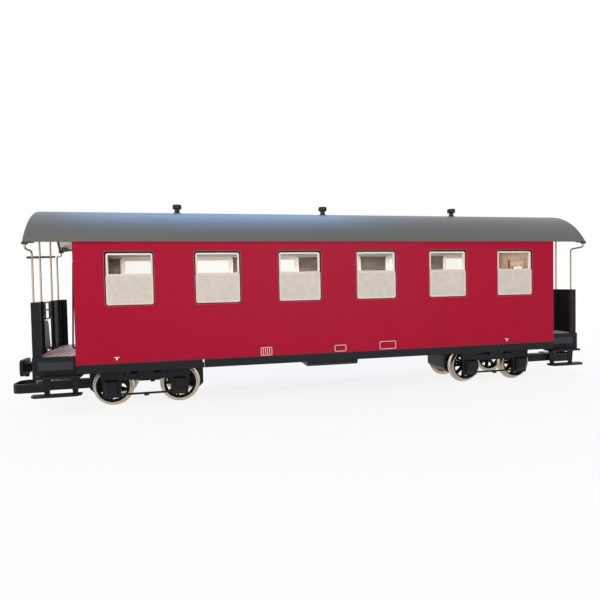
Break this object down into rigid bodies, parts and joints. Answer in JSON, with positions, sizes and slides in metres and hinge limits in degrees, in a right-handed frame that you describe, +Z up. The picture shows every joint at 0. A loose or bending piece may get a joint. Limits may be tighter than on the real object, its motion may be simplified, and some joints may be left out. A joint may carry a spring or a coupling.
{
  "type": "model railway passenger coach",
  "caption": "Model railway coach on two swivelling bogies, with open end platforms, arched roof, glazed side windows, hinged end doors and loop couplers.",
  "frame": {"origin": "on the track below the middle of the coach, level with the bottom of the wheel flanges", "axes": "+X along the coach towards its right end as pictured, +Y across it away from the viewer, +Z up"},
  "size_m": [0.58, 0.115, 0.1837],
  "materials": {
    "black_plastic": "satin moulded black plastic",
    "deck_planks": "brown grey planked plastic",
    "plate_grey": "satin dark grey plastic",
    "post_wire": "bright nickelled wire",
    "crossbar_brown": "dark brown paint",
    "body_red": "semi-gloss red paint on plastic",
    "window_frame": "pale satin plastic",
    "clear_glazing": "clear plastic pane",
    "frosted_glazing": "frosted plastic pane",
    "roof_grey": "satin mid grey",
    "vent_dark": "dark grey plastic",
    "seat_brown": "brown moulded plastic",
    "hook_metal": "bare metal strip",
    "axle_steel": "bright steel",
    "tyre_nickel": "warm nickel plating",
    "wheel_black": "black moulded plastic"
  },
  "bodies": {
    "coach_body": {"underframe_centre": "black_plastic", "underframe_left": "black_plastic", "underframe_right": "black_plastic", "steps_left": "black_plastic", "steps_right": "black_plastic", "buffer_left": "black_plastic", "buffer_right": "black_plastic", "railing_left": "black_plastic", "railing_right": "black_plastic", "gate_left": "black_plastic", "gate_right": "black_plastic", "post_sockets": "black_plastic", "handrails": "black_plastic", "underfloor_box": "black_plastic", "deck_left": "deck_planks", "deck_right": "deck_planks", "posts_left": "post_wire", "posts_right": "post_wire", "crossbar": "crossbar_brown", "side_wall_near": "body_red", "side_wall_far": "body_red", "end_wall_left": "body_red", "end_wall_right": "body_red", "window_frames": "window_frame", "clear_panes": "clear_glazing", "frosted_panes": "frosted_glazing", "roof": "roof_grey", "vents": "vent_dark", "seats": "seat_brown"},
    "bogie_left": {"bogie_frame_left": "black_plastic", "bogie_sides_left": "black_plastic", "tie_bars_left": "black_plastic", "coupler_left": "black_plastic", "coupler_hook_left": "hook_metal"},
    "wheelset_left_1": {"axle_left_1": "axle_steel", "tyres_left_1": "tyre_nickel", "wheel_centres_left_1": "wheel_black"},
    "wheelset_left_2": {"axle_left_2": "axle_steel", "tyres_left_2": "tyre_nickel", "wheel_centres_left_2": "wheel_black"},
    "end_door_left": {"door_left": "body_red", "door_glass_left": "clear_glazing"},
    "gangway_plate_left": {"fall_plate_left": "plate_grey"},
    "bogie_right": {"bogie_frame_right": "black_plastic", "bogie_sides_right": "black_plastic", "tie_bars_right": "black_plastic", "coupler_right": "black_plastic", "coupler_hook_right": "hook_metal"},
    "wheelset_right_1": {"axle_right_1": "axle_steel", "tyres_right_1": "tyre_nickel", "wheel_centres_right_1": "wheel_black"},
    "wheelset_right_2": {"axle_right_2": "axle_steel", "tyres_right_2": "tyre_nickel", "wheel_centres_right_2": "wheel_black"},
    "end_door_right": {"door_right": "body_red", "door_glass_right": "clear_glazing"},
    "gangway_plate_right": {"fall_plate_right": "plate_grey"}
  },
  "joints": [
    {"name": "bogie_left_swivel", "type": "hinge", "parent": "coach_body", "child": "bogie_left", "pos_m": [-0.1737, 0, 0.028], "axis": [0, 0, 1], "range_deg": [-15, 15]},
    {"name": "wheelset_left_1_spin", "type": "hinge", "parent": "bogie_left", "child": "wheelset_left_1", "pos_m": [-0.2027, 0, 0.018], "axis": [0, 1, 0], "continuous": true},
    {"name": "wheelset_left_2_spin", "type": "hinge", "parent": "bogie_left", "child": "wheelset_left_2", "pos_m": [-0.1447, 0, 0.018], "axis": [0, 1, 0], "continuous": true},
    {"name": "end_door_left_hinge", "type": "hinge", "parent": "coach_body", "child": "end_door_left", "pos_m": [-0.2276, 0.0135, 0.0885], "axis": [0, 0, -1], "range_deg": [0, 90]},
    {"name": "gangway_plate_left_hinge", "type": "hinge", "parent": "coach_body", "child": "gangway_plate_left", "pos_m": [-0.2629, 0, 0.0507], "axis": [0, -1, 0], "range_deg": [0, 90]},
    {"name": "bogie_right_swivel", "type": "hinge", "parent": "coach_body", "child": "bogie_right", "pos_m": [0.1737, 0, 0.028], "axis": [0, 0, 1], "range_deg": [-15, 15]},
    {"name": "wheelset_right_1_spin", "type": "hinge", "parent": "bogie_right", "child": "wheelset_right_1", "pos_m": [0.1447, 0, 0.018], "axis": [0, 1, 0], "continuous": true},
    {"name": "wheelset_right_2_spin", "type": "hinge", "parent": "bogie_right", "child": "wheelset_right_2", "pos_m": [0.2027, 0, 0.018], "axis": [0, 1, 0], "continuous": true},
    {"name": "end_door_right_hinge", "type": "hinge", "parent": "coach_body", "child": "end_door_right", "pos_m": [0.2276, 0.0135, 0.0885], "axis": [0, 0, 1], "range_deg": [0, 90]},
    {"name": "gangway_plate_right_hinge", "type": "hinge", "parent": "coach_body", "child": "gangway_plate_right", "pos_m": [0.2629, 0, 0.0507], "axis": [0, 1, 0], "range_deg": [0, 90]}
  ]
}
